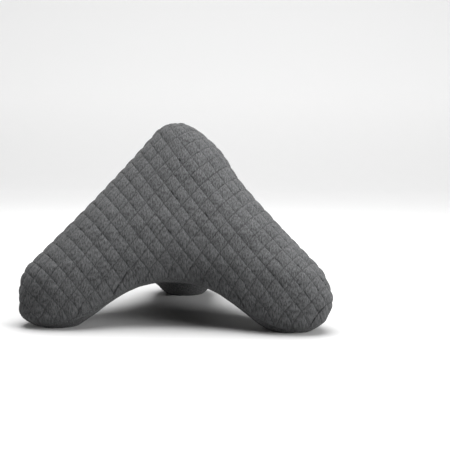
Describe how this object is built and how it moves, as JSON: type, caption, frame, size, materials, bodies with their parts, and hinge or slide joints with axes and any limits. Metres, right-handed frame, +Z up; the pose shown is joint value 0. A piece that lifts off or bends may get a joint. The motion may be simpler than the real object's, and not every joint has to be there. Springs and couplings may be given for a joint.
{
  "type": "pillow",
  "caption": "Filled pillow that stands on rounded legs under a round crown, in a charcoal diamond-quilted knit cover.",
  "frame": {"origin": "on the floor, under the middle of the pillow's bounding box", "axes": "+X from the left leg to the right leg, +Y from the front panel to the rear leg, +Z up to the crown"},
  "size_m": [0.6458, 0.5994, 0.4139],
  "materials": {
    "quilted_knit": "matt heathered charcoal knit, diamond-quilted"
  },
  "bodies": {
    "root": {"pillow": "quilted_knit"}
  },
  "joints": []
}
